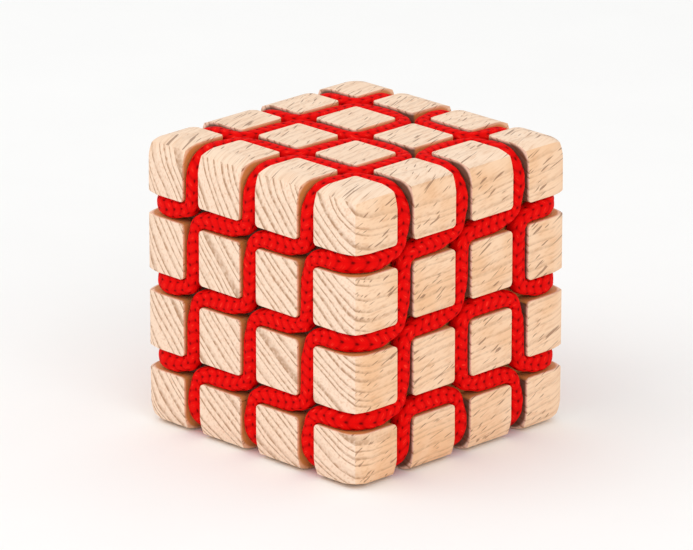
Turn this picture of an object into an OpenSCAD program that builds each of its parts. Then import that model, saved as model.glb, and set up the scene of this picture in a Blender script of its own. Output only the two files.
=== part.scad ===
// Cord cube: a solid wooden cube with three grooves across every face, nine rings
// in all, and one long cord that lies once in every stretch of groove. Where two
// grooves cross, the cord turns a corner twice and never runs over itself.
// Millimetres, +Z up. The origin is at the middle of the face the cube rests on.

/* [Wooden block] */
// Edge length of the cube
cube_size = 60; // [46:0.5:90]
// Width of every groove
groove_w = 4.5; // [3.7:0.1:5.6]
// Rounding of the cube's outer edges and corners
edge_r = 4.3; // [2:0.1:6]
// Rounding of the pads where two grooves cross
pad_corner_r = 0.9; // [0.5:0.1:1.4]

/* [Cord] */
// Air between the two strands at a crossing
strand_gap = 0.11; // [0.05:0.01:0.3]
// Air between a turning strand and the pad that it turns around
pad_gap = 0.13; // [0.05:0.01:0.3]
// Air between the cord and the floor of its groove
floor_gap = 0.3; // [0.2:0.05:0.5]
// How far the top of the cord lies below the faces
cord_sink = 0.14; // [0.1:0.02:1.5]
// Straight cord between the cup of the free end's first hinge and the bend over the edge
edge_run = 0.3; // [0.1:0.05:1.2]

/* [Cord ends] */
// Depth of the blind hole that holds the fixed end, below the groove's floor
anchor_depth = 10; // [6:0.5:16]
// Diameter of that hole beyond the cord
anchor_play = 0.2; // [0.1:0.05:0.4]
// Depth of the widened mouth of that hole
mouth_depth = 0.8; // [0.4:0.1:1.5]
// Wood left between the mouth and the walls of the groove
mouth_wall = 0.05; // [0.05:0.05:0.3]
// Centreline radius of the cord where it dips into the hole
dip_r = 2.5; // [2.3:0.1:3.2]
// Thickness of the glue under the fixed end
glue_t = 0.8; // [0.4:0.1:2]
// Length of the melted tip of the free end, without its round nose
tip_len = 1.2; // [0.6:0.1:2]
// Air around the ball where two stretches of the free end meet
ball_gap = 0.12; // [0.1:0.02:0.3]
// How much smaller than the cord the ball in its bend is, all round
ball_step = 0.08; // [0.04:0.02:0.2]

/* [Hidden] */
$fn = 48;

half = cube_size / 2;
pad_w = (cube_size - 3 * groove_w) / 4;
pitch = pad_w + groove_w;
over = 1; // how far a cutter reaches past what it cuts
mouth_over = 0.01; // how far the cone of the mouth reaches past the groove's floor

function rounded_down(v) = floor(v * 100) / 100;
function rounded_up(v) = ceil(v * 100) / 100;

// The thickest cord with which two strands still pass each other at a crossing.
cord_max = groove_w / sqrt(2) + (sqrt(2) - 1) * pad_corner_r - pad_gap - strand_gap / 2;
cord_r = rounded_down(cord_max / 2);
cord_d = 2 * cord_r;
turn_r = rounded_up((cord_d + strand_gap) / (2 * (sqrt(2) - 1)));
groove_d = cord_sink + cord_d + floor_gap;

// Each stretch of the free end turns around the ball end of the one before, up to
// a right angle, so it starts with a cup of this radius.
ball_cup_r = rounded_up(sqrt(2) * cord_r + ball_gap);
ball_r = cord_r - ball_step;

// The centre of the cord lies this far from the cube's centre on every face. Its
// bend over an edge starts at bend_at, and the groove's floor keeps to its inside.
lay = half - cord_sink - cord_r;
bend_at = pitch + turn_r + ball_cup_r + edge_run;
bend_r = lay - bend_at;
floor_edge_r = bend_r - cord_r - floor_gap;

// Which way the two strands turn at each crossing. A face's rows run up its second
// axis and each row runs along its first. 1: first-axis minus joins second-axis
// plus. 0: first-axis minus joins second-axis minus. With these turns the whole
// cord is a single closed round of all 108 stretches.
FRONT = [[1, 1, 1], [1, 1, 1], [1, 1, 1]];
BACK = [[1, 1, 1], [1, 1, 1], [0, 1, 1]];
LEFT = [[1, 1, 1], [0, 1, 1], [1, 1, 1]];
RIGHT = [[1, 0, 0], [1, 1, 0], [1, 1, 1]];
UNDER = [[1, 0, 1], [1, 1, 1], [1, 1, 1]];
TOP = [[1, 1, 1], [1, 1, 0], [1, 0, 1]];
// Each face: the axis it looks along, the side, its turns.
FACES = [[0, -1, LEFT], [0, 1, RIGHT], [1, -1, FRONT], [1, 1, BACK], [2, -1, UNDER], [2, 1, TOP]];

// The crossing on the back face where the cord starts and ends.
START = [-1, 0];
start_at = START * pitch;

// Seen from above, the free end leaves its last turn on the left face at tail_root,
// and the middle of its bend over the cube's edge is at tail_elbow.
tail_root = [-lay, pitch + turn_r];
tail_elbow = [-1, 1] * (bend_at + bend_r / sqrt(2));
// It stops beside the strand that still turns at the crossing where the cord starts.
other_strand_reach = turn_r + 2 * cord_r + floor_gap;
nose_x = rounded_down(start_at[0] + turn_r - sqrt(pow(other_strand_reach, 2) - pow(turn_r, 2)));
tip_from = nose_x - tip_len;

// Carries what is drawn on the top face to the face that looks along an axis.
module on_face(axis, side)
    mirror([axis == 0 && side < 0 ? 1 : 0, axis == 1 && side < 0 ? 1 : 0, axis == 2 && side < 0 ? 1 : 0])
        if (axis == 0)
            rotate(120, [1, 1, 1])
                children();
        else if (axis == 1)
            mirror([0, 1, -1])
                children();
        else
            children();

// A square with rounded corners, centred.
module rounded_square(side, r)
{
    square([side - 2 * r, side], center = true);
    square([side, side - 2 * r], center = true);
    for (x = [-1, 1], y = [-1, 1])
        translate([x, y] * (side / 2 - r))
            circle(r);
}

module rounded_cube(side, r)
{
    for (turn = [[0, 0, 0], [90, 0, 0], [0, 90, 0]])
        rotate(turn)
            cube([side - 2 * r, side - 2 * r, side], center = true);
    for (x = [-1, 1], y = [-1, 1])
        for (turn = [[0, 0, 0], [90, 0, 0], [0, 90, 0]])
            rotate(turn)
                translate([x, y, 0] * (side / 2 - r))
                    cylinder(h = side - 2 * r, r = r, center = true);
    for (x = [-1, 1], y = [-1, 1], z = [-1, 1])
        translate([x, y, z] * (side / 2 - r))
            sphere(r);
}

// One ring groove around the Z axis: its floor follows the cube with rounded edges.
module ring_cutter()
    linear_extrude(groove_w, center = true)
        difference()
        {
            square(cube_size + 2 * over, center = true);
            rounded_square(cube_size - 2 * groove_d, floor_edge_r);
        }

// Rounds the four pad corners around one crossing on the top face.
module crossing_cutter()
    translate([0, 0, half - groove_d])
        linear_extrude(groove_d + over)
            difference()
            {
                square(groove_w + 2 * pad_corner_r, center = true);
                for (x = [-1, 1], y = [-1, 1])
                    translate([x, y] * (groove_w / 2 + pad_corner_r))
                        circle(pad_corner_r);
            }

// The blind hole for the fixed end, at the crossing where the cord starts.
module anchor_hole()
    translate([start_at[0], start_at[1] + turn_r, 0])
    {
        bore_r = (cord_d + anchor_play) / 2;
        translate([0, 0, half - groove_d - anchor_depth])
            cylinder(h = anchor_depth + over, r = bore_r);
        translate([0, 0, half - groove_d - mouth_depth])
            cylinder(h = mouth_depth + mouth_over, r1 = bore_r, r2 = groove_w / 2 - mouth_wall);
    }

module grooved_block()
    color("burlywood")
        translate([0, 0, half])
            difference()
            {
                rounded_cube(cube_size, edge_r);
                for (turn = [[0, 0, 0], [90, 0, 0], [0, 90, 0]], k = [-1:1])
                    rotate(turn)
                        translate([0, 0, k * pitch])
                            ring_cutter();
                for (f = FACES, i = [-1:1], j = [-1:1])
                    on_face(f[0], f[1])
                        translate([i, j, 0] * pitch)
                            crossing_cutter();
                on_face(1, 1)
                    anchor_hole();
            }

// A straight stretch of cord along X, from one place to another.
module straight(from, to)
    translate([from, 0, 0])
        rotate([0, 90, 0])
            cylinder(h = to - from, r = cord_r);

// A round end of cord, pointing along X.
module nose()
    rotate([0, 90, 0])
        rotate_extrude()
            intersection()
            {
                circle(cord_r);
                square(cord_r);
            }

// A quarter turn of cord around the pad at (+, +), between two crossing grooves.
module quarter_turn(r)
    translate([r, r, 0])
        rotate([0, 0, 180])
            rotate_extrude(angle = 90)
                translate([r, 0])
                    circle(cord_r);

// The cord over the cube's edge at +X, +Z, from one outer crossing to the next.
module over_edge()
    for (m = [0, 1])
        mirror([m, 0, -m])
        {
            translate([0, 0, lay])
                straight(pitch + turn_r, bend_at);
            if (m == 0)
                translate([lay, 0, lay])
                    rotate([90, 0, 0])
                        rotate([0, 0, 180])
                            quarter_turn(bend_r);
        }

module wound_cord()
    color("red")
        translate([0, 0, half])
        {
            for (f = FACES)
                on_face(f[0], f[1])
                    face_cord(f[2], f[0] == 1 && f[1] == 1);
            for (axis = [0:2], side = [-1, 1], around = [-1, 1], k = [-1:1])
                if (!(axis == 2 && side == -1 && around == 1 && k == START[1]))
                    edge_place(axis, side, around)
                        translate([0, k * pitch, 0])
                            over_edge();
            on_face(1, 1)
                translate([start_at[0], start_at[1] + turn_r, 0])
                    fixed_end();
            translate(tail_root)
                rotate([0, 0, 90])
                    nose();
        }

// Carries the edge at +X, +Z, which lies along Y, to any edge of the cube.
module edge_place(axis, side, around)
    if (axis == 0)
        mirror([0, side < 0 ? 1 : 0, 0])
            mirror([0, 0, around < 0 ? 1 : 0])
                mirror([1, -1, 0])
                    children();
    else if (axis == 1)
        mirror([side < 0 ? 1 : 0, 0, 0])
            mirror([0, 0, around < 0 ? 1 : 0])
                children();
    else
        mirror([side < 0 ? 1 : 0, 0, 0])
            mirror([0, around < 0 ? 1 : 0, 0])
                mirror([0, 1, -1])
                    children();

// The cord on one face: two turns at every crossing and the stretches between.
module face_cord(turns, holds_start)
    translate([0, 0, lay])
    {
        for (i = [-1:1], j = [-1:1], strand = [0, 1])
            if (!(holds_start && [i, j] == START && strand == 0))
                translate([i, j, 0] * pitch)
                    rotate([0, 0, strand * 180 + (turns[j + 1][i + 1] == 1 ? 90 : 180)])
                        quarter_turn(turn_r);
        for (across = [-1:1], k = [-1, 0], swap = [0, 1])
            if (!(holds_start && swap == 1 && across == START[0] && k == START[1]))
                mirror([swap, -swap, 0])
                    translate([k * pitch, across * pitch, 0])
                        straight(turn_r, pitch - turn_r);
    }

// The fixed end: down its hole, and up into the groove that leads away from it.
module fixed_end()
{
    bottom = half - groove_d - anchor_depth + glue_t;
    translate([0, 0, bottom])
        cylinder(h = lay - dip_r - bottom, r = cord_r);
    translate([0, 0, lay])
        rotate([0, 90, 0])
            quarter_turn(dip_r);
    translate([0, 0, lay])
        rotate([0, 0, 90])
            straight(dip_r, pitch - 2 * turn_r);
}

module anchor_glue()
    color("tan")
        translate([0, 0, half])
            on_face(1, 1)
                translate([start_at[0], start_at[1] + turn_r, half - groove_d - anchor_depth])
                    cylinder(h = glue_t, d = cord_d + anchor_play);

// The free end's bend over the cube's edge, without the quarter of the plan, seen from
// above, that starts at an angle. What is left ends at the middle of the bend.
module half_bend(cut_from)
    translate([-bend_at, bend_at, 0])
        difference()
        {
            rotate([0, 0, 90])
                rotate_extrude(angle = 90)
                    translate([bend_r, 0])
                        circle(cord_r);
            rotate([0, 0, cut_from])
                translate([0, 0, -cord_d])
                    cube([bend_r + cord_d, bend_r + cord_d, 2 * cord_d]);
        }

// First stretch of the free end: along the left face to the middle of the bend.
module cord_tail_inner()
    color("red")
        translate([0, 0, half])
            difference()
            {
                union()
                {
                    translate(tail_root)
                        rotate([0, 0, 90])
                            straight(0, bend_at - tail_root[1]);
                    half_bend(45);
                    translate(tail_elbow)
                        sphere(ball_r);
                }
                translate(tail_root)
                    sphere(ball_cup_r);
            }

// Last stretch of the free end: along the back face towards the start.
module cord_tail_outer()
    color("red")
        translate([0, 0, half])
            difference()
            {
                union()
                {
                    half_bend(135);
                    translate([0, lay, 0])
                        straight(-bend_at, tip_from);
                }
                translate(tail_elbow)
                    sphere(ball_cup_r);
            }

// The melted, hardened nose of the free end.
module sealed_tip()
    color("darkred")
        translate([0, lay, half])
        {
            straight(tip_from, nose_x);
            translate([nose_x, 0, 0])
                nose();
        }

grooved_block();
wound_cord();
anchor_glue();
cord_tail_inner();
cord_tail_outer();
sealed_tip();
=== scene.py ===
import itertools
import math

import bmesh
import bpy
import numpy as np
from mathutils import Matrix, Vector


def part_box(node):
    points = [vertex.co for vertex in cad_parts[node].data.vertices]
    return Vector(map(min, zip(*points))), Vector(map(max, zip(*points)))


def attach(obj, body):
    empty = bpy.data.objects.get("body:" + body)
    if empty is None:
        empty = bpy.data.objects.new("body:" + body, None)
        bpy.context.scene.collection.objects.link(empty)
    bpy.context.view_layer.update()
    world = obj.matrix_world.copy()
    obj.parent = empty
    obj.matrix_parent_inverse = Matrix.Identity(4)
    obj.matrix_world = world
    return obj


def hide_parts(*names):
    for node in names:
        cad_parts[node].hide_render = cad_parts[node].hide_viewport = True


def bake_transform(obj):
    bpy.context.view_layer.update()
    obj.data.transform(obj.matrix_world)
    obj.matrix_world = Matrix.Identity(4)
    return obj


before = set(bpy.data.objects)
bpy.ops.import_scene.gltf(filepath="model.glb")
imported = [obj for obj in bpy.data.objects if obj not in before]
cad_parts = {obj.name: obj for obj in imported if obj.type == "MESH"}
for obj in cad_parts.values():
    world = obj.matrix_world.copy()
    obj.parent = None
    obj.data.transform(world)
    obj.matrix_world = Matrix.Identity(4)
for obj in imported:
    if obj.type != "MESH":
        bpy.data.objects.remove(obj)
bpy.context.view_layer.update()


# Camera. A long lens over a metre away looks down at the cube's near upright edge,
# so two faces and the top show, and the cube's edges stay almost parallel.
MM = 0.001
block_low, block_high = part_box("grooved_block")
MIDDLE = (block_low + block_high) / 2
AZIMUTH = math.radians(45.1)
ELEVATION = math.radians(18.8)
CAMERA_DISTANCE = 1225 * MM
CAMERA_LENS = 318.9
AIM_LEFT = 1.84 * MM
AIM_UP = 0.65 * MM
VIEW_REACH = 10

towards_camera = Vector((
    math.sin(AZIMUTH) * math.cos(ELEVATION),
    -math.cos(AZIMUTH) * math.cos(ELEVATION),
    math.sin(ELEVATION),
))
rightwards = Vector((math.cos(AZIMUTH), math.sin(AZIMUTH), 0))
upwards = towards_camera.cross(rightwards)
aim = MIDDLE - rightwards * AIM_LEFT + upwards * AIM_UP

bpy.ops.object.select_all(action="DESELECT")
bpy.ops.object.camera_add(location=MIDDLE + towards_camera * CAMERA_DISTANCE)
camera = bpy.context.object
camera.name = "camera"
camera.rotation_euler = (camera.location - aim).to_track_quat("Z", "Y").to_euler()
camera.data.lens = CAMERA_LENS
camera.data.clip_end = VIEW_REACH
bpy.context.scene.camera = camera


# Studio. A sheet of white paper on a table, an even white room, and one large soft
# lamp high on the left with a weaker one on the right.
PAPER_SIZE = 8
PAPER_FIBRE = 25 * MM
ROOM_LIGHT = 0.82
LAMPS = {  # place and width in metres, power in watts
    "lamp_left": ((-0.55, -1.1, 1.3), 1.5, 7.6),
    "lamp_right": ((1.3, -0.5, 0.9), 1.2, 5.5),
}


def linear(hex_colour):
    """An sRGB hex colour as the linear RGBA that a socket takes."""
    shares = [int(hex_colour[i:i + 2], 16) / 255 for i in (1, 3, 5)]
    return (*[s / 12.92 if s <= 0.04045 else ((s + 0.055) / 1.055) ** 2.4 for s in shares], 1)


def new_material(name):
    """An empty node material, its nodes and its surface shader."""
    material = bpy.data.materials.new(name)
    material.use_nodes = True
    nodes = material.node_tree.nodes
    return material, nodes, nodes["Principled BSDF"]


def add_node(kind, inputs, output=0, **settings):
    """Adds a node to the material that is being made and gives one of its outputs. inputs
    gives each socket a value, or the output that it is linked to."""
    node = nodes.new("ShaderNode" + kind)
    for name, value in settings.items():
        setattr(node, name, value)
    for socket, value in inputs.items():
        if isinstance(value, bpy.types.NodeSocket):
            nodes.id_data.links.new(value, node.inputs[socket])
        else:
            node.inputs[socket].default_value = value
    return node.outputs[output]


# Matt white paper: bright, without gloss, a trace of fibre so that it isn't quite even.
paper, nodes, shader = new_material("matt_white_paper")
place = nodes.new("ShaderNodeTexCoord").outputs["Object"]
fibre = add_node("TexNoise", {"Vector": place, "Scale": 1 / PAPER_FIBRE, "Detail": 3})
tone = add_node("Mix", {0: fibre, 6: linear("#F8F8F7"), 7: linear("#FBFBFA")}, 2, data_type="RGBA")
nodes.id_data.links.new(tone, shader.inputs["Base Color"])
shader.inputs["Roughness"].default_value = 0.9
shader.inputs["Specular IOR Level"].default_value = 0.1

bpy.ops.object.select_all(action="DESELECT")
bpy.ops.mesh.primitive_plane_add(size=PAPER_SIZE)
floor = bpy.context.object
floor.name = "paper_floor"
floor.data.materials.append(paper)

room = bpy.data.worlds.new("white_room")
room.use_nodes = True
room.node_tree.nodes["Background"].inputs["Color"].default_value = (1, 1, 1, 1)
room.node_tree.nodes["Background"].inputs["Strength"].default_value = ROOM_LIGHT
bpy.context.scene.world = room

for name, (lamp_place, width, power) in LAMPS.items():
    bpy.ops.object.light_add(type="AREA", location=lamp_place)
    lamp = bpy.context.object
    lamp.name = name
    lamp.data.size = width
    lamp.data.energy = power
    lamp.rotation_euler = (lamp.location - MIDDLE).to_track_quat("Z", "Y").to_euler()
bpy.context.scene.view_settings.view_transform = "Standard"


# Grooved block. One cube of solid beech with nine ring grooves sawn and milled into
# it, three in each direction, which leave fifty-six pads. Its outer edges are rounded
# over, the pad corners are eased at the crossings, and every arris is lightly sanded.
HALF = (block_high.x - block_low.x) / 2
GROOVE_WIDTH = 4.5 * MM
GROOVE_DEPTH = 3.8 * MM
PAD_WIDTH = (2 * HALF - 3 * GROOVE_WIDTH) / 4
PITCH = PAD_WIDTH + GROOVE_WIDTH
EDGE_ROUND = 4.3 * MM
EDGE_STEPS = 10
DOME_RADIUS = 10.1 * MM
DOME_REACH = 5.2 * MM
FLOOR_ROUND = 3.085 * MM
FLOOR_STEPS = 8
PAD_CORNER_ROUND = 0.9 * MM
PAD_CORNER_STEPS = 4
ARRIS_ROUND = 0.28 * MM
ARRIS_ANGLE = math.radians(50)
SMOOTH_ANGLE = math.radians(25)
SAME_PLACE = 0.01 * MM
ON_ROUNDING = 0.05 * MM
INNER_WALL = HALF - PAD_WIDTH
FLOOR = HALF - GROOVE_DEPTH
HOLE_RADIUS = 1.78 * MM
HOLE_DEPTH = 10 * MM
HOLE_MOUTH_RADIUS = 2.2 * MM
HOLE_MOUTH_DEPTH = 0.8 * MM
HOLE_SIDES = 32
HOLE_ALONG = 4.19 * MM


def solid_box(name, low, high):
    """A box between two corners, measured from the cube's middle, with its place in its mesh."""
    bpy.ops.object.select_all(action="DESELECT")
    bpy.ops.mesh.primitive_cube_add(size=1)
    box = bpy.context.object
    box.name = name
    low, high = Vector(low), Vector(high)
    size = Matrix.Diagonal((*(high - low), 1))
    box.data.transform(Matrix.Translation((low + high) / 2) @ size)
    return box


def round_edges(piece, wanted, radius, steps):
    """Rounds over the edges whose two ends are both wanted places."""
    bpy.ops.object.select_all(action="DESELECT")
    piece.select_set(True)
    bpy.context.view_layer.objects.active = piece
    bpy.ops.object.mode_set(mode="EDIT")
    bpy.ops.mesh.select_mode(type="EDGE")
    bpy.ops.mesh.select_all(action="DESELECT")
    mesh = bmesh.from_edit_mesh(piece.data)
    for edge in mesh.edges:
        edge.select_set(all(wanted(v.co) for v in edge.verts))
    bmesh.update_edit_mesh(piece.data)
    bpy.ops.mesh.bevel(offset=radius, segments=steps, profile=0.5, affect="EDGES")
    bpy.ops.object.mode_set(mode="OBJECT")


def apply_modifier(piece, kind, **settings):
    """Adds a modifier to a piece and applies it."""
    bpy.ops.object.select_all(action="DESELECT")
    piece.select_set(True)
    bpy.context.view_layer.objects.active = piece
    modifier = piece.modifiers.new(kind.lower(), kind)
    for name, value in settings.items():
        setattr(modifier, name, value)
    bpy.ops.object.modifier_apply(modifier=modifier.name)


def joined(pieces):
    """Several pieces as one object."""
    bpy.ops.object.select_all(action="DESELECT")
    for piece in pieces:
        piece.select_set(True)
    bpy.context.view_layer.objects.active = pieces[0]
    bpy.ops.object.join()
    return pieces[0]


def at(value, wanted):
    return abs(value - wanted) < SAME_PLACE


def count_at(co, wanted):
    """How many of a point's coordinates have a wanted value."""
    return sum(at(c, wanted) for c in co)


def crease_edges(piece):
    """Slides the rounded-over corners outwards onto six slightly domed faces, so that a faint
    crease runs along each outer edge, where two faces' roundings meet."""
    for vertex in piece.data.vertices:
        offset = Vector(max(c - (HALF - EDGE_ROUND), 0) for c in vertex.co)
        if sum(c > SAME_PLACE for c in offset) < 2 or offset.length < EDGE_ROUND - ON_ROUNDING:
            continue
        base = vertex.co - offset
        low, high = 0.8, 1.6
        for halving in range(24):
            middle = (low + high) / 2
            moved = base + offset * middle
            drops = [DOME_RADIUS - math.sqrt(DOME_RADIUS ** 2 - max(c - (HALF - DOME_REACH), 0) ** 2)
                     for c in moved]
            outside = any(moved[i] > HALF - sum(drops) + drops[i] for i in range(3))
            low, high = (low, middle) if outside else (middle, high)
        vertex.co = base + offset * low


pad_near, pad_far = GROOVE_WIDTH / 2, PITCH - GROOVE_WIDTH / 2
corner_pad = solid_box("corner_pad", (INNER_WALL,) * 3, (HALF,) * 3)
round_edges(corner_pad, lambda co: count_at(co, HALF) >= 2, EDGE_ROUND, EDGE_STEPS)
round_edges(corner_pad, lambda co: count_at(co, INNER_WALL) >= 2, PAD_CORNER_ROUND, PAD_CORNER_STEPS)

edge_pad = solid_box("edge_pad", (INNER_WALL, pad_near, INNER_WALL), (HALF, pad_far, HALF))
round_edges(edge_pad, lambda co: at(co.x, HALF) and at(co.z, HALF), EDGE_ROUND, EDGE_STEPS)
for end in (pad_near, pad_far):
    for axis in (0, 2):
        round_edges(edge_pad, lambda co: at(co[axis], INNER_WALL) and at(co.y, end),
                    PAD_CORNER_ROUND, PAD_CORNER_STEPS)

face_pad = solid_box("face_pad", (pad_near, pad_near, FLOOR - MM), (pad_far, pad_far, HALF))
for x, y in itertools.product((pad_near, pad_far), repeat=2):
    round_edges(face_pad, lambda co: at(co.x, x) and at(co.y, y), PAD_CORNER_ROUND, PAD_CORNER_STEPS)

# The twenty-four ways of turning a cube onto itself carry each pad to all its places.
turns = []
for order in itertools.permutations(range(3)):
    for signs in itertools.product((-1, 1), repeat=3):
        turn = Matrix([[signs[row] * (order[row] == column) for column in range(3)] for row in range(3)])
        if turn.determinant() > 0:
            turns.append(turn.to_4x4())

pads = []
for pad in (corner_pad, edge_pad, face_pad):
    crease_edges(pad)
    apply_modifier(pad, "BEVEL", width=ARRIS_ROUND, segments=2, limit_method="ANGLE",
                   angle_limit=ARRIS_ANGLE)
    pad_middle = Vector(np.mean([v.co for v in pad.data.vertices], axis=0))
    filled = set()
    for turn in turns:
        copy_mesh = pad.data.copy()
        copy_mesh.transform(turn)
        spot = tuple(round(c / MM) for c in turn @ pad_middle)
        if spot not in filled:
            filled.add(spot)
            pads.append(bpy.data.objects.new(pad.name + "_copy", copy_mesh))
            bpy.context.collection.objects.link(pads[-1])
    bpy.data.objects.remove(pad)

beech_block = solid_box("beech_block", (-FLOOR,) * 3, (FLOOR,) * 3)
round_edges(beech_block, lambda co: True, FLOOR_ROUND, FLOOR_STEPS)
all_pads = joined(pads)
apply_modifier(beech_block, "BOOLEAN", object=all_pads, operation="UNION", solver="EXACT")
bpy.data.objects.remove(all_pads)

# The drill that makes the blind hole for the cord's fixed end, on the back, with a
# countersink that eases its mouth.
hole_centre = Vector((-PITCH, FLOOR, HOLE_ALONG))
bpy.ops.object.select_all(action="DESELECT")
bpy.ops.mesh.primitive_cylinder_add(
    vertices=HOLE_SIDES, radius=HOLE_RADIUS, depth=HOLE_DEPTH, rotation=(math.pi / 2, 0, 0),
    location=hole_centre - Vector((0, HOLE_DEPTH / 2 + HOLE_MOUTH_DEPTH, 0)))
drill = bpy.context.object
bpy.ops.object.transform_apply(location=True, rotation=True, scale=True)
bpy.ops.object.mode_set(mode="EDIT")
bpy.ops.mesh.select_mode(type="FACE")
bpy.ops.mesh.select_all(action="DESELECT")
drill_mesh = bmesh.from_edit_mesh(drill.data)
for face in drill_mesh.faces:
    face.select_set(face.normal.y > 0.9)
bmesh.update_edit_mesh(drill.data)
for growth, advance in ((HOLE_MOUTH_RADIUS / HOLE_RADIUS, HOLE_MOUTH_DEPTH), (1, GROOVE_DEPTH / 2)):
    bpy.ops.mesh.extrude_region_move(TRANSFORM_OT_translate={"value": (0, advance, 0)})
    bpy.ops.transform.resize(value=(growth, 1, growth), center_override=hole_centre)
bpy.ops.object.mode_set(mode="OBJECT")
apply_modifier(beech_block, "BOOLEAN", object=drill, operation="DIFFERENCE", solver="EXACT")
bpy.data.objects.remove(drill)

beech_block.data.transform(Matrix.Translation(MIDDLE))
bpy.ops.object.select_all(action="DESELECT")
beech_block.select_set(True)
bpy.context.view_layer.objects.active = beech_block
bpy.ops.object.shade_smooth_by_angle(angle=SMOOTH_ANGLE)
apply_modifier(beech_block, "WEIGHTED_NORMAL", keep_sharp=True)

# Bare beech, finely sanded. Growth rings curve round a pith that lies outside the
# block and show as soft brown lines on the end grain; rays show as short dark flecks
# along the grain on the long faces. The top is painted a shade paler than the sides,
# as painted light from above. The sawn groove walls and floors are painted warm and
# darker: partly the sawn wood's own tone, partly painted shade in the grooves, most of
# all in end grain.
PITH = (64 * MM, 0, 109 * MM)
GRAIN = Vector((-0.28, 1, 0.21)).normalized()
ACROSS = GRAIN.cross(Vector((-0.63, 0, -0.777))).normalized()
RING_SPACING = 1.75 * MM
RING_UNEVENNESS = 1.8
FIBRE_SIZE = (14 * MM, 0.5 * MM, 0.5 * MM)  # along the grain, across, and out from the pith
FLECK_SIZE = (13 * MM, 0.36 * MM, 1.2 * MM)
GRAIN_WANDER = 3.2 * MM
WANDERS, PATCHES, PORES = 45, 95, 1100  # to the metre: 22 mm, 10.5 mm and 0.9 mm apart
# Depths below the rounded outside over which the painted shade of the grooves sets in.
SAWN_SHADE_FROM, SAWN_SHADE_FULLY = 0.12 * MM, 0.75 * MM
GRAIN_RELIEF = 0.06 * MM
MULTIPLY = {"operation": "MULTIPLY"}
SMOOTH = {"interpolation_type": "SMOOTHSTEP"}
COLOUR = {"output": 2, "data_type": "RGBA"}

beech, nodes, shader = new_material("sanded_beech")
coordinates = nodes.new("ShaderNodeTexCoord").outputs
place, normal = coordinates["Object"], coordinates["Normal"]
wander = add_node("TexNoise", {"Vector": place, "Scale": WANDERS, "Detail": 2}, "Color")
centred = add_node("VectorMath", {0: wander, 1: (0.5, 0.5, 0.5)}, operation="SUBTRACT")
drifted = add_node("VectorMath", {0: centred, 1: (GRAIN_WANDER,) * 3, 2: place}, operation="MULTIPLY_ADD")
from_pith = add_node("VectorMath", {0: drifted, 1: PITH}, operation="SUBTRACT")
along_pith = add_node("VectorMath", {0: from_pith, 1: GRAIN}, "Value", operation="DOT_PRODUCT")
on_pith = add_node("VectorMath", {0: GRAIN, "Scale": along_pith}, operation="SCALE")
spoke = add_node("VectorMath", {0: from_pith, 1: on_pith}, operation="SUBTRACT")
radius = add_node("VectorMath", {0: spoke}, "Value", operation="LENGTH")

# Late wood darkens slowly through each year's growth and ends at once.
years = add_node("Math", {0: radius, 1: 1 / RING_SPACING}, **MULTIPLY)
weather = add_node("TexNoise", {"W": years, "Scale": 0.45, "Detail": 1}, noise_dimensions="1D")
season = add_node("Math", {0: weather, 1: RING_UNEVENNESS, 2: years}, operation="MULTIPLY_ADD")
season = add_node("Math", {0: season}, operation="FRACT")
darkening = add_node("MapRange", {0: season, 1: 0.48, 2: 0.88}, **SMOOTH)
year_end = add_node("MapRange", {0: season, 1: 0.9, 2: 1, 3: 1, 4: 0}, **SMOOTH)
late_wood = add_node("Math", {0: darkening, 1: year_end}, **MULTIPLY)

facing_end = add_node("VectorMath", {0: normal, 1: GRAIN}, "Value", operation="DOT_PRODUCT")
facing_end = add_node("Math", {0: facing_end}, operation="ABSOLUTE")
end_grain = add_node("MapRange", {0: facing_end, 1: 0.45, 2: 0.9}, **SMOOTH)

# Fibres and flecks are noise stretched along the grain, each to its own size.
stretched = []
for length, width, deep in (FIBRE_SIZE, FLECK_SIZE):
    along = add_node("VectorMath", {0: drifted, 1: GRAIN / length}, "Value", operation="DOT_PRODUCT")
    across = add_node("VectorMath", {0: drifted, 1: ACROSS / width}, "Value", operation="DOT_PRODUCT")
    outwards = add_node("Math", {0: radius, 1: 1 / deep}, **MULTIPLY)
    stretched.append(add_node("CombineXYZ", {0: along, 1: outwards, 2: across}))
fibre = add_node("TexNoise", {"Vector": stretched[0], "Scale": 1, "Detail": 3})
flecks = add_node("TexNoise", {"Vector": stretched[1], "Scale": 1, "Detail": 0.5})
flecks = add_node("MapRange", {0: flecks, 1: 0.655, 2: 0.73}, **SMOOTH)

patches = add_node("TexNoise", {"Vector": place, "Scale": PATCHES, "Detail": 2})
patches = add_node("MapRange", {0: patches, 1: 0.35, 2: 0.68}, **SMOOTH)
pale = add_node("Mix", {0: patches, 6: linear("#F8D3B0"), 7: linear("#F1C195")}, **COLOUR)
pale = add_node("Mix", {0: end_grain, 6: pale, 7: linear("#F8DBC2")}, **COLOUR)
# Painted light: faces that look up are painted paler, as if lit from above.
painted_top_light = add_node("SeparateXYZ", {0: normal}, "Z")
painted_top_light = add_node("MapRange", {0: painted_top_light, 1: 0.5, 2: 0.95, 4: 0.7}, **SMOOTH)
pale = add_node("Mix", {0: painted_top_light, 6: pale, 7: linear("#F8E0C8")}, **COLOUR)
streaks = add_node("MapRange", {0: fibre, 1: 0.45, 2: 0.75, 4: 0.42}, **SMOOTH)
streaked = add_node("Mix", {0: streaks, 6: pale, 7: linear("#D39B6E")}, **COLOUR)

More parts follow.
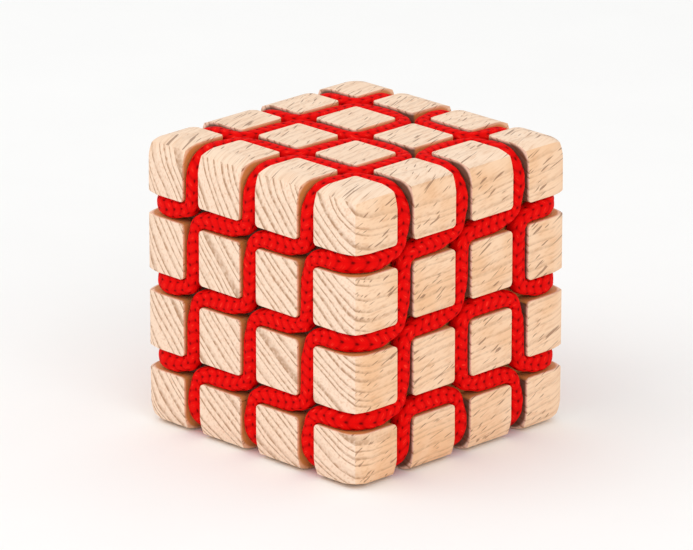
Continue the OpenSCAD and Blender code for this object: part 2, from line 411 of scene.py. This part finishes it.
# Rings are strongest on end grain and broken up by the pores; flecks are the reverse.
ring_strength = add_node("MapRange", {0: facing_end, 1: 0, 2: 0.75, 3: 0.13, 4: 0.95}, **SMOOTH)
pores = add_node("TexNoise", {"Vector": drifted, "Scale": PORES, "Detail": 2})
pores = add_node("MapRange", {0: pores, 1: 0.35, 2: 0.6, 3: 0.45}, **SMOOTH)
ring_strength = add_node("Math", {0: ring_strength, 1: pores}, **MULTIPLY)
ring_strength = add_node("Math", {0: late_wood, 1: ring_strength}, **MULTIPLY)
ringed = add_node("Mix", {0: ring_strength, 6: streaked, 7: linear("#AB7F5C")}, **COLOUR)
fleck_strength = add_node("MapRange", {0: end_grain, 3: 0.7, 4: 0.1})
fleck_strength = add_node("Math", {0: flecks, 1: fleck_strength}, **MULTIPLY)
flecked = add_node("Mix", {0: fleck_strength, 6: ringed, 7: linear("#80553A")}, **COLOUR)

# Sawn walls and floors are whatever lies below the rounded outside of the cube. They are
# painted warm and darker: partly the sawn wood's own tone, partly painted shade in the
# grooves, near black-brown on end grain.
offset = add_node("VectorMath", {0: place, 1: MIDDLE}, operation="SUBTRACT")
offset = add_node("VectorMath", {0: offset}, operation="ABSOLUTE")
offset = add_node("VectorMath", {0: offset, 1: (HALF - EDGE_ROUND,) * 3}, operation="SUBTRACT")
offset = add_node("VectorMath", {0: offset, 1: (0, 0, 0)}, operation="MAXIMUM")
reach = add_node("VectorMath", {0: offset}, "Value", operation="LENGTH")
sawn_and_shaded = add_node("MapRange", {0: reach, 1: EDGE_ROUND - SAWN_SHADE_FULLY, 2: EDGE_ROUND - SAWN_SHADE_FROM,
                             3: 0.9, 4: 0}, **SMOOTH)
sawn_shade_colour = add_node("Mix", {0: end_grain, 6: linear("#C9863A"), 7: linear("#5A2E17")}, **COLOUR)
wood_colour = add_node("Mix", {0: sawn_and_shaded, 6: flecked, 7: sawn_shade_colour}, **COLOUR)
nodes.id_data.links.new(wood_colour, shader.inputs["Base Color"])
rough = add_node("MapRange", {0: fibre, 3: 0.5, 4: 0.68})
nodes.id_data.links.new(rough, shader.inputs["Roughness"])
shader.inputs["Specular IOR Level"].default_value = 0.35
relief = add_node("Bump", {"Height": fibre, "Strength": 0.35, "Distance": GRAIN_RELIEF})
nodes.id_data.links.new(relief, shader.inputs["Normal"])

beech_block.data.materials.clear()
beech_block.data.materials.append(beech)
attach(beech_block, "cube")
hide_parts("grooved_block")


# Cord. One length of red cord, plaited from thick yarn round a soft core, so that its
# outside is eight columns of slanting stitches that meet in V shapes, with small dark
# holes between them. It starts glued in a blind hole on the back, and lies once in
# every stretch of groove: at each crossing it hugs a pad corner and turns.
HALF_HEIGHT = 1.88 * MM
HALF_WIDTH = 2.2 * MM
HALF_WIDTH_TURN = 1.7 * MM
SQUEEZE_REACH = 1.7 * MM
WALL_GAP = 0.02 * MM
TURN_GAP = 0.03 * MM
CORD_BELOW_FACE = 0.04 * MM
HALF_WIDTH_IN_HOLE = 1.66 * MM
DIP_RADIUS = 2.5 * MM
GLUE_THICKNESS = 0.8 * MM
COLUMNS = 8
STITCH = 2.2 * MM
STITCH_SLANT = 0.5
STITCH_RELIEF = 0.22 * MM
STITCH_CREST = 0.7
SUNK_BETWEEN_STITCHES, SUNK_BETWEEN_COLUMNS, SUNK_AT_HOLES = 0.2, 0.15, 0.65
FULLNESS = 0.8
TWISTS = ((0.9, 31 * MM), (0.5, 11.7 * MM))  # angle in radians, length over which it winds
TRAIL_STEP = 0.5 * MM
TURN_STEPS = 8
RING_SEGMENTS = 40
RING_STEP = 0.34 * MM
SOFTEN = 0.55 * MM
SOFTEN_RINGS = 6
CLEAR_OF_DIP = 0.3 * MM
TIP_OVERLAP = 0.9 * MM
TIP_TAPER = 2.2 * MM
LAY = HALF - CORD_BELOW_FACE - HALF_HEIGHT
BEND_RADIUS = FLOOR_ROUND + HALF_HEIGHT
CORNER = GROOVE_WIDTH / 2 + PAD_CORNER_ROUND
TURN_RADIUS = PAD_CORNER_ROUND + HALF_WIDTH_TURN + TURN_GAP

# Which way the cord turns at each crossing, as in the CAD model: a face's rows run up
# its second axis. 1: first-axis minus joins second-axis plus. 0: it joins minus.
TURN_TABLES = {
    (1, -1): ((1, 1, 1), (1, 1, 1), (1, 1, 1)),
    (1, 1): ((1, 1, 1), (1, 1, 1), (0, 1, 1)),
    (0, -1): ((1, 1, 1), (0, 1, 1), (1, 1, 1)),
    (0, 1): ((1, 0, 0), (1, 1, 0), (1, 1, 1)),
    (2, -1): ((1, 0, 1), (1, 1, 1), (1, 1, 1)),
    (2, 1): ((1, 1, 1), (1, 1, 0), (1, 0, 1)),
}
START = np.array((-1, 2, 0))


def onward(crossing, heading):
    """The next crossing along a groove, and the heading there. 2 or -2 marks the face's axis."""
    ahead = crossing + heading
    if max(abs(ahead[heading != 0])) < 2:
        return ahead, heading
    outward = np.sign(crossing) * (abs(crossing) == 2)
    return ahead - outward, -outward


def turned(crossing, heading):
    """The heading in which the cord leaves a crossing."""
    face_axis = int(np.argmax(abs(crossing)))
    first, second = [axis for axis in range(3) if axis != face_axis]
    rows = TURN_TABLES[face_axis, int(np.sign(crossing[face_axis]))]
    joins_plus = rows[crossing[second] + 1][crossing[first] + 1]
    came_from = int(np.argmax(abs(heading)))
    leaves_by = second if came_from == first else first
    new_heading = np.zeros(3, int)
    new_heading[leaves_by] = heading[came_from] if joins_plus else -heading[came_from]
    return new_heading


def crossing_place(crossing):
    """The middle of a crossing at the depth of the cord's centre."""
    return np.where(abs(crossing) == 2, np.sign(crossing) * LAY, crossing * PITCH)


def squeezed(distance):
    """The cord's half width this far from the nearest turn."""
    return HALF_WIDTH - (HALF_WIDTH - HALF_WIDTH_TURN) * np.exp(-(distance / SQUEEZE_REACH) ** 2)


# A list of places: centre, direction away from the wood, half width.
trail = []
lean = CORNER - TURN_RADIUS


def lay_turn(crossing, heading, leaving):
    """Adds the cord round the pad corner between the arm it came by and the arm it leaves by."""
    outward = np.sign(crossing) * (abs(crossing) == 2)
    corner = crossing_place(crossing) + CORNER * (leaving - heading)
    for angle in np.linspace(0, math.pi / 2, TURN_STEPS):
        rim = math.cos(angle) * leaving - math.sin(angle) * heading
        trail.append((corner - TURN_RADIUS * rim, outward, HALF_WIDTH_TURN))


def lay_stretch(crossing, heading, lean_first, lean_last):
    """Adds the cord from one crossing to the next, over an edge if need be. At an end that
    turns, it is squeezed and leans to one side of the groove. A lean of None is a free end."""
    outward = np.sign(crossing) * (abs(crossing) == 2)
    start = crossing_place(crossing)
    run_on_face = PITCH - 2 * CORNER
    over_edge = abs((crossing + heading)[heading != 0][0]) == 2
    if over_edge:
        first_run = HALF - (GROOVE_DEPTH + FLOOR_ROUND) - PITCH - CORNER
        bend_run = BEND_RADIUS * math.pi / 2
        total = 2 * first_run + bend_run
    else:
        first_run, bend_run, total = run_on_face, 0, run_on_face
    for gone in np.arange(TRAIL_STEP, total - TRAIL_STEP / 2, TRAIL_STEP):
        share = gone / total
        from_turns = [d for d, turn in ((gone, lean_first), (total - gone, lean_last)) if turn is not None]
        half_width = squeezed(min(from_turns))
        room = GROOVE_WIDTH / 2 - half_width - WALL_GAP
        side = (1 - share) * (0 * heading if lean_first is None else lean_first)
        side = side + share * (0 * heading if lean_last is None else lean_last)
        side *= min(1, room / max(np.linalg.norm(side), 1e-9))
        if gone <= first_run:
            centre, up = start + (CORNER + gone) * heading, outward
        elif gone <= first_run + bend_run:
            angle = (gone - first_run) / BEND_RADIUS
            up = math.cos(angle) * outward + math.sin(angle) * heading
            hub = start + (CORNER + first_run) * heading - BEND_RADIUS * outward
            centre = hub + BEND_RADIUS * up
        else:
            up = heading
            hub = start + (CORNER + first_run) * heading - BEND_RADIUS * outward
            centre = hub + BEND_RADIUS * heading - (gone - first_run - bend_run) * outward
        trail.append((centre + side, up, half_width))


# The fixed end comes up out of its hole and bends into the groove along +Z.
hole_bottom = FLOOR - HOLE_DEPTH + GLUE_THICKNESS
into_groove = np.array((0, 0, 1))
hole_axis = np.array((-PITCH, 0, HOLE_ALONG))
out_of_hole = np.array((0, 1, 0))
for depth in np.arange(hole_bottom, LAY - DIP_RADIUS, TRAIL_STEP):
    trail.append((hole_axis + depth * out_of_hole, -into_groove, HALF_WIDTH_IN_HOLE))
for angle in np.linspace(0, math.pi / 2, TURN_STEPS):
    up = math.sin(angle) * out_of_hole - math.cos(angle) * into_groove
    centre = hole_axis + (LAY - DIP_RADIUS) * out_of_hole + DIP_RADIUS * (into_groove + up)
    trail.append((centre, up, HALF_WIDTH_IN_HOLE))

crossing, heading = START, into_groove
leaving = turned(*onward(crossing, heading))
lead_in = len(trail)
lay_stretch(crossing, heading, None, leaving * lean)
trail[lead_in:] = [p for p in trail[lead_in:] if p[0][2] > HOLE_ALONG + DIP_RADIUS + CLEAR_OF_DIP]
while True:
    crossing, heading = onward(crossing, heading)
    leaving = turned(crossing, heading)
    lay_turn(crossing, heading, leaving)
    next_crossing, next_heading = onward(crossing, leaving)
    comes_home = tuple(next_crossing) == tuple(START) and next_heading[0] > 0
    next_lean = None if comes_home else turned(next_crossing, next_heading) * lean
    lay_stretch(crossing, leaving, -heading * lean, next_lean)
    if comes_home:
        break
    heading = leaving

# The free end runs on into its melted tip. The trail is then measured off in equal
# steps and softened, because cord keeps no kinks.
tip_low, tip_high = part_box("sealed_tip")
while trail[-1][0][0] < tip_low.x + TIP_OVERLAP:
    centre, up, half_width = trail[-1]
    trail.append((centre + np.array((TRAIL_STEP, 0, 0)), up, half_width))
places, ups, half_widths = (np.array([p[i] for p in trail], float) for i in range(3))
half_heights = np.full(len(trail), HALF_HEIGHT)
half_heights[:lead_in] = HALF_WIDTH_IN_HOLE
measured = np.concatenate([[0], np.cumsum(np.linalg.norm(np.diff(places, axis=0), axis=1))])
stations = np.arange(0, measured[-1], RING_STEP)
neighbours = np.arange(-SOFTEN_RINGS, SOFTEN_RINGS + 1) * RING_STEP
weights = np.exp(-(neighbours / SOFTEN) ** 2 / 2)
weights /= weights.sum()


def softened(values):
    """Values along the trail at every station, each averaged with its neighbours."""
    even = np.interp(stations, measured, values)
    return np.convolve(np.pad(even, len(neighbours) // 2, mode="edge"), weights, mode="valid")


centres = np.stack([softened(places[:, axis]) for axis in range(3)], axis=1)
tangents = np.gradient(centres, axis=0)
tangents /= np.linalg.norm(tangents, axis=1, keepdims=True)
ups = np.stack([softened(ups[:, axis]) for axis in range(3)], axis=1)
ups -= (ups * tangents).sum(1, keepdims=True) * tangents
ups /= np.linalg.norm(ups, axis=1, keepdims=True)
sides = np.cross(ups, tangents)
half_widths, half_heights = softened(half_widths), softened(half_heights)
# Heat has drawn the yarns in where the cord runs into its melted tip.
drawn_in = np.exp(-((stations[-1] - stations) / TIP_TAPER) ** 2)
half_widths -= drawn_in * (half_widths - HALF_WIDTH_IN_HOLE)
half_heights -= drawn_in * (half_heights - HALF_WIDTH_IN_HOLE)
# The plait winds slowly to and fro as the cord is laid in.
twist = sum(angle * np.sin(stations / length) for angle, length in TWISTS)


def cord_piece(name, first, last):
    """The cord between two stations, as a closed mesh that follows every stitch."""
    ring = np.arange(RING_SEGMENTS)
    run = slice(first, last + 1)
    count = last + 1 - first
    column = ring * COLUMNS / RING_SEGMENTS
    zigzag = 1 - abs(column % 2 - 1) - 0.5
    lane = stations[run, None] / STITCH + STITCH_SLANT * zigzag
    valley = abs(np.sin(math.pi * lane)) ** STITCH_CREST
    shoulder = np.cos(math.pi * (column % 1 - 0.5))
    sunk = STITCH_RELIEF * (SUNK_BETWEEN_STITCHES * (1 - valley) + SUNK_BETWEEN_COLUMNS * (1 - shoulder)
                            + SUNK_AT_HOLES * (1 - valley) * (1 - shoulder))
    angle = 2 * math.pi * ring / RING_SEGMENTS + twist[run, None]
    wide = half_widths[run, None] * np.sign(np.cos(angle)) * abs(np.cos(angle)) ** FULLNESS
    high = half_heights[run, None] * np.sign(np.sin(angle)) * abs(np.sin(angle)) ** FULLNESS
    shrink = 1 - sunk / np.hypot(wide, high)
    points = centres[run, None] + (wide * shrink)[..., None] * sides[run, None]
    points = points + (high * shrink)[..., None] * ups[run, None] + np.array(MIDDLE)

    lower = (np.arange(count - 1)[:, None] * RING_SEGMENTS + ring).ravel()
    lower_next = (np.arange(count - 1)[:, None] * RING_SEGMENTS + (ring + 1) % RING_SEGMENTS).ravel()
    quads = np.stack([lower, lower_next, lower_next + RING_SEGMENTS, lower + RING_SEGMENTS], axis=1)
    ends = [ring[::-1].tolist(), (ring + (count - 1) * RING_SEGMENTS).tolist()]
    mesh = bpy.data.meshes.new(name)
    mesh.from_pydata(points.reshape(-1, 3).tolist(), [], quads.tolist() + ends)

    along = np.repeat(stations[run][:-1] / STITCH, RING_SEGMENTS)
    step = RING_STEP / STITCH
    around = np.tile(column, count - 1)
    around_next = around + COLUMNS / RING_SEGMENTS
    corners = np.stack([along, around, along, around_next,
                        along + step, around_next, along + step, around], axis=1)
    loops = np.concatenate([corners.ravel(), np.zeros(4 * RING_SEGMENTS)])
    mesh.uv_layers.new(name="plait").data.foreach_set("uv", loops)
    smooth = np.ones(len(mesh.polygons), bool)
    smooth[-2:] = False
    mesh.polygons.foreach_set("use_smooth", smooth)
    mesh.materials.append(red_yarn)
    piece = bpy.data.objects.new(name, mesh)
    bpy.context.collection.objects.link(piece)
    return piece


# Red polyester yarn, dyed through. Each stitch is a bundle of fine straight filaments.
# Its colour carries painted light: a painted highlight on its crown, painted shade where
# it dives under its neighbours, and dark painted shade in the holes between stitches.
FILAMENTS = 9  # bands across a stitch, far coarser than real filaments, so that they show
FILAMENT_BREAKS = 1.2
FILAMENT_RELIEF = 0.05 * MM

red_yarn, nodes, shader = new_material("red_polyester_plait")
plait = add_node("UVMap", {}, uv_map="plait")
along = add_node("SeparateXYZ", {0: plait}, "X")
around = add_node("SeparateXYZ", {0: plait}, "Y")
zigzag = add_node("Math", {0: around, 1: 1}, operation="PINGPONG")
lane = add_node("Math", {0: zigzag, 1: STITCH_SLANT, 2: along}, operation="MULTIPLY_ADD")
lane = add_node("Math", {0: lane, 1: STITCH_SLANT / 2}, operation="SUBTRACT")
wave = add_node("Math", {0: lane, 1: math.pi}, **MULTIPLY)
wave = add_node("Math", {0: wave}, operation="SINE")
valley = add_node("Math", {0: wave}, operation="ABSOLUTE")
within = add_node("Math", {0: around}, operation="FRACT")
within = add_node("Math", {0: within, 1: math.pi}, **MULTIPLY)
shoulder = add_node("Math", {0: within}, operation="SINE")
crown = add_node("MapRange", {0: shoulder, 3: 0.4})
crown = add_node("Math", {0: valley, 1: crown}, **MULTIPLY)
between_stitches = add_node("MapRange", {0: valley, 1: 0.1, 2: 0.62, 3: 1, 4: 0}, **SMOOTH)
between_columns = add_node("MapRange", {0: shoulder, 1: 0.05, 2: 0.6, 3: 1, 4: 0}, **SMOOTH)
shaded_hole = add_node("Math", {0: between_stitches, 1: between_columns}, **MULTIPLY)

across_stitch = add_node("Math", {0: lane, 1: FILAMENTS}, **MULTIPLY)
across_column = add_node("Math", {0: around, 1: FILAMENT_BREAKS}, **MULTIPLY)
filaments = add_node("CombineXYZ", {0: across_stitch, 1: across_column})
filaments = add_node("TexNoise", {"Vector": filaments, "Scale": 1, "Detail": 2})
# Painted shade: each stitch is painted darker away from its crown.
painted_crown_light = add_node("MapRange", {0: crown, 1: 0.05, 2: 0.6}, **SMOOTH)
red = add_node("Mix", {0: painted_crown_light, 6: linear("#CC0504"), 7: linear("#E60806")}, **COLOUR)
# Painted highlight: a pale red sheen on the crest of each stitch, broken up by the filaments.
highlight_crest = add_node("MapRange", {0: crown, 1: 0.72, 2: 0.98}, **SMOOTH)
painted_highlight = add_node("MapRange", {0: filaments, 1: 0.45, 2: 0.7}, **SMOOTH)
painted_highlight = add_node("Math", {0: highlight_crest, 1: painted_highlight}, **MULTIPLY)
red = add_node("Mix", {0: painted_highlight, 6: red, 7: linear("#FF3524")}, **COLOUR)
# Painted shade: the holes between stitches are painted near black-red.
red = add_node("Mix", {0: shaded_hole, 6: red, 7: linear("#700202")}, **COLOUR)
nodes.id_data.links.new(red, shader.inputs["Base Color"])
shader.inputs["Roughness"].default_value = 0.7
shader.inputs["Specular IOR Level"].default_value = 0.04
relief = add_node("Bump", {"Height": filaments, "Strength": 0.5, "Distance": FILAMENT_RELIEF})
nodes.id_data.links.new(relief, shader.inputs["Normal"])

# The wound part is four runs end to end, so that none has too many faces.
TAIL_FROM = 18.3 * MM
TAIL_HALFWAY = 22.9 * MM
RUNS = 4
tail_from = int(np.where(centres[:, 1] < TAIL_FROM)[0][-1]) + 1
run_ends = np.linspace(0, tail_from, RUNS + 1).astype(int)
for run, (first, last) in enumerate(itertools.pairwise(run_ends)):
    piece = cord_piece(f"wound_cord_run_{run + 1}", int(first), int(last))
    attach(piece, "cube")
    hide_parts("wound_cord")

# The free end of the cord. It only lies in its groove, so it can be peeled out and
# straightened. It is made as two pieces, split at TAIL_HALFWAY.
tail_halfway = int(np.where(centres[:, 1] < TAIL_HALFWAY)[0][-1]) + 1
inner = cord_piece("cord_end_inner", tail_from, tail_halfway)
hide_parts("cord_tail_inner")
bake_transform(inner)
outer = cord_piece("cord_end_outer", tail_halfway, len(stations) - 1)
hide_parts("cord_tail_outer")
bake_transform(outer)


# Sealed tip. The cut end of the cord was held in a flame, so that the yarns melted into
# one hard, dark, glossy bead and can't unravel.
TIP_RADIUS = 1.84 * MM
TIP_SIDES = 28
TIP_STEPS = ((0.95, 0.5), (0.87, 0.45), (0.72, 0.35), (0.45, 0.25))  # share of the radius, advance in mm
LUMP_SIZE = 1.6 * MM
LUMP_HEIGHT = 0.22 * MM
CHAR_SPECKS = 900  # to the metre, 1.1 mm apart

nose_length = sum(advance for share, advance in TIP_STEPS) * MM
barrel = tip_high.x - tip_low.x - nose_length
tip_centre = Vector((tip_low.x + barrel / 2, LAY, MIDDLE.z))
bpy.ops.object.select_all(action="DESELECT")
bpy.ops.mesh.primitive_cylinder_add(vertices=TIP_SIDES, radius=TIP_RADIUS, depth=barrel,
                                    rotation=(0, math.pi / 2, 0), location=tip_centre)
tip = bpy.context.object
tip.name = "melted_tip"
bpy.ops.object.transform_apply(location=True, rotation=True, scale=True)
bpy.ops.object.mode_set(mode="EDIT")
bpy.ops.mesh.select_mode(type="FACE")
bpy.ops.mesh.select_all(action="DESELECT")
tip_mesh = bmesh.from_edit_mesh(tip.data)
for face in tip_mesh.faces:
    face.select_set(face.normal.x > 0.9)
bmesh.update_edit_mesh(tip.data)
share_before = 1
for share, advance in TIP_STEPS:
    growth = share / share_before
    bpy.ops.mesh.extrude_region_move(TRANSFORM_OT_translate={"value": (advance * MM, 0, 0)})
    bpy.ops.transform.resize(value=(1, growth, growth), center_override=tip_centre)
    share_before = share
bpy.ops.object.mode_set(mode="OBJECT")
apply_modifier(tip, "SUBSURF", levels=2, render_levels=2)
lumps = bpy.data.textures.new("melted_lumps", "CLOUDS")
lumps.noise_scale = LUMP_SIZE
apply_modifier(tip, "DISPLACE", texture=lumps, texture_coords="LOCAL", strength=LUMP_HEIGHT, mid_level=0.6)
bpy.ops.object.shade_smooth()

# Melted and set polyester: a glossy dark red glass with a few char specks.
melted, nodes, shader = new_material("melted_polyester")
place = nodes.new("ShaderNodeTexCoord").outputs["Object"]
specks = add_node("TexNoise", {"Vector": place, "Scale": CHAR_SPECKS, "Detail": 2})
specks = add_node("MapRange", {0: specks, 1: 0.45, 2: 0.68}, **SMOOTH)
dark = add_node("Mix", {0: specks, 6: linear("#7A0606"), 7: linear("#1E0303")}, **COLOUR)
nodes.id_data.links.new(dark, shader.inputs["Base Color"])
shader.inputs["Roughness"].default_value = 0.18
shader.inputs["IOR"].default_value = 1.57
tip.data.materials.append(melted)
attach(tip, "tail_outer")
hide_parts("sealed_tip")


# Glue. A drop of wood glue at the bottom of the hole holds the cord's fixed end.
# Set glue is a hazy honey-coloured plastic with fine bubbles.
BUBBLES = 3000  # to the metre, a third of a millimetre apart

honey, nodes, shader = new_material("set_wood_glue")
place = nodes.new("ShaderNodeTexCoord").outputs["Object"]
bubbles = add_node("TexVoronoi", {"Vector": place, "Scale": BUBBLES}, "Distance")
bubbles = add_node("MapRange", {0: bubbles, 1: 0.1, 2: 0.4}, **SMOOTH)
hazy = add_node("Mix", {0: bubbles, 6: linear("#EAD9AC"), 7: linear("#C79A4C")}, **COLOUR)
nodes.id_data.links.new(hazy, shader.inputs["Base Color"])
shader.inputs["Roughness"].default_value = 0.3
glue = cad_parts["anchor_glue"]
glue.data.materials.clear()
glue.data.materials.append(honey)
